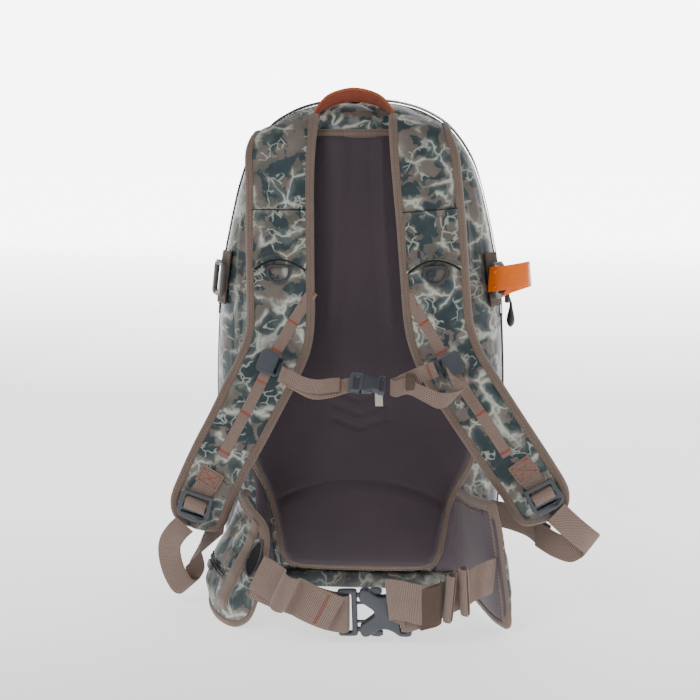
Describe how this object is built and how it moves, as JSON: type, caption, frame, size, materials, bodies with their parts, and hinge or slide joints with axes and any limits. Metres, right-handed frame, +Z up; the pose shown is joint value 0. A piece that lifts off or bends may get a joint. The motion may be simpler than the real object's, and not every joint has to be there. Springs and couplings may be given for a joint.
{
  "type": "tackle backpack",
  "caption": "Hard-wearing fishing pack with a padded harness, sternum strap, winged hip belt, zip-over top and front flap, lash points and a carrying handle.",
  "frame": {"origin": "middle of the flat base", "axes": "+Z up along the pack's height; X across the back; -Y towards the wearer, out of the back panel"},
  "size_m": [0.4619, 0.3929, 0.5482],
  "materials": {
    "camo": "semi-gloss coated fabric, camouflage print",
    "foam": "matt moulded foam with a knitted face",
    "webbing": "woven nylon",
    "plastic": "moulded acetal",
    "dark": "matt dark rubber",
    "rust": "woven nylon",
    "orange": "glossy translucent urethane"
  },
  "bodies": {
    "pack": {"rear_shell": "camo", "front_shell": "camo", "base_boot": "dark", "zip_tape_rear": "dark", "back_panel": "foam", "panel_binding": "webbing", "front_pocket": "camo", "top_yoke": "camo", "lash_tape_left": "webbing", "lash_buckle_left": "plastic", "adjuster_webbing_left": "webbing", "lash_tape_right": "webbing", "lash_buckle_right": "plastic", "adjuster_webbing_right": "webbing"},
    "flap": {"front_flap": "camo", "zip_tape_front": "dark"},
    "main_slider": {"zip_slider": "plastic"},
    "main_pull": {"zip_pull": "dark"},
    "haul_handle": {"haul_handle": "rust"},
    "pocket_slider": {"pocket_zip_slider": "plastic"},
    "rod_loop": {"rod_loop": "orange"},
    "harness": {"shoulder_pad_left": "camo", "pad_binding_left": "webbing", "strap_pocket_left": "camo", "ladder_webbing_left": "webbing", "adjuster_patch_left": "webbing", "shoulder_pad_right": "camo", "pad_binding_right": "webbing", "strap_pocket_right": "camo", "ladder_webbing_right": "webbing", "adjuster_patch_right": "webbing"},
    "d_ring_left": {"d_ring_left": "plastic"},
    "d_ring_right": {"d_ring_right": "plastic"},
    "lock_left": {"ladder_lock_left": "plastic", "webbing_tail_left": "webbing"},
    "lock_right": {"ladder_lock_right": "plastic", "webbing_tail_right": "webbing"},
    "sternum_strap": {"sternum_slider_left": "plastic", "sternum_slider_right": "plastic", "sternum_webbing_right": "webbing", "sternum_buckle_socket": "plastic"},
    "sternum_plug": {"sternum_buckle_plug": "plastic", "sternum_webbing_left": "webbing"},
    "hip_belt": {"hip_wing_left": "foam", "wing_binding_left": "webbing", "hip_pocket_left": "camo", "hip_wing_right": "foam", "wing_binding_right": "webbing", "hip_pocket_right": "camo", "belt_webbing_right": "webbing", "belt_buckle_socket": "plastic"},
    "hip_slider_left": {"hip_zip_slider_left": "plastic"},
    "hip_slider_right": {"hip_zip_slider_right": "plastic"},
    "belt_plug": {"belt_buckle_plug": "plastic", "belt_webbing_left": "webbing"},
    "arm_upper": {"buckle_arm_upper": "plastic"},
    "arm_lower": {"buckle_arm_lower": "plastic"}
  },
  "joints": [
    {"name": "flap_open", "type": "hinge", "parent": "pack", "child": "flap", "pos_m": [0, 0.096, 0.3], "axis": [-1, 0, 0], "range_deg": [0, 70]},
    {"name": "main_zip", "type": "slide", "parent": "pack", "child": "main_slider", "axis": [-0.119, 0, 0.9929], "range_m": [0, 0.04]},
    {"name": "zip_pull_swing", "type": "hinge", "parent": "main_slider", "child": "main_pull", "pos_m": [0.17, -0.015, 0.319], "axis": [0, -1, 0], "range_deg": [0, 60]},
    {"name": "handle_swing", "type": "hinge", "parent": "pack", "child": "haul_handle", "pos_m": [-0.003, -0.06, 0.519], "axis": [1, 0, 0], "range_deg": [-10, 12]},
    {"name": "pocket_zip", "type": "slide", "parent": "pack", "child": "pocket_slider", "axis": [-1, 0, 0], "range_m": [0, 0.12]},
    {"name": "rod_loop_swing", "type": "hinge", "parent": "pack", "child": "rod_loop", "pos_m": [0.152, -0.062, 0.339], "axis": [0, 0, 1], "range_deg": [-15, 6]},
    {"name": "harness_lift", "type": "hinge", "parent": "pack", "child": "harness", "pos_m": [0, -0.075, 0.507], "axis": [-1, 0, 0], "range_deg": [0, 20]},
    {"name": "d_ring_left_swing", "type": "hinge", "parent": "harness", "child": "d_ring_left", "pos_m": [-0.0775, -0.1275, 0.363], "axis": [-1, 0, 0], "range_deg": [0, 75]},
    {"name": "d_ring_right_swing", "type": "hinge", "parent": "harness", "child": "d_ring_right", "pos_m": [0.0865, -0.1275, 0.363], "axis": [-1, 0, 0], "range_deg": [0, 75]},
    {"name": "lock_left_tilt", "type": "hinge", "parent": "harness", "child": "lock_left", "pos_m": [-0.155, -0.1715, 0.129], "axis": [-0.908, 0, 0.4191], "range_deg": [0, 25]},
    {"name": "lock_right_tilt", "type": "hinge", "parent": "harness", "child": "lock_right", "pos_m": [0.192, -0.1715, 0.144], "axis": [-0.8336, 0, -0.5524], "range_deg": [0, 25]},
    {"name": "sternum_height", "type": "slide", "parent": "harness", "child": "sternum_strap", "axis": [0, 0.2449, 0.9696], "range_m": [-0.01, 0.01]},
    {"name": "sternum_release", "type": "slide", "parent": "sternum_strap", "child": "sternum_plug", "axis": [-0.995, 0, 0.0995], "range_m": [0, 0.02]},
    {"name": "belt_lift", "type": "hinge", "parent": "pack", "child": "hip_belt", "pos_m": [0, -0.092, 0.06], "axis": [-1, 0, 0], "range_deg": [0, 5]},
    {"name": "hip_zip_left", "type": "slide", "parent": "hip_belt", "child": "hip_slider_left", "axis": [0, -1, 0], "range_m": [0, 0.006]},
    {"name": "hip_zip_right", "type": "slide", "parent": "hip_belt", "child": "hip_slider_right", "axis": [0, -1, 0], "range_m": [0, 0.006]},
    {"name": "belt_release", "type": "slide", "parent": "hip_belt", "child": "belt_plug", "axis": [-0.9994, -0.02, -0.03], "range_m": [0, 0.036]},
    {"name": "arm_upper_squeeze", "type": "slide", "parent": "belt_plug", "child": "arm_upper", "axis": [0, 0.0599, -0.9982], "range_m": [0, 0.003], "stiffness_N_per_m": 800},
    {"name": "arm_lower_squeeze", "type": "slide", "parent": "belt_plug", "child": "arm_lower", "axis": [0, -0.0599, 0.9982], "range_m": [0, 0.003], "stiffness_N_per_m": 800}
  ],
  "couplings": [
    {"joint": "arm_lower_squeeze", "follows": "arm_upper_squeeze", "ratio": 1}
  ]
}
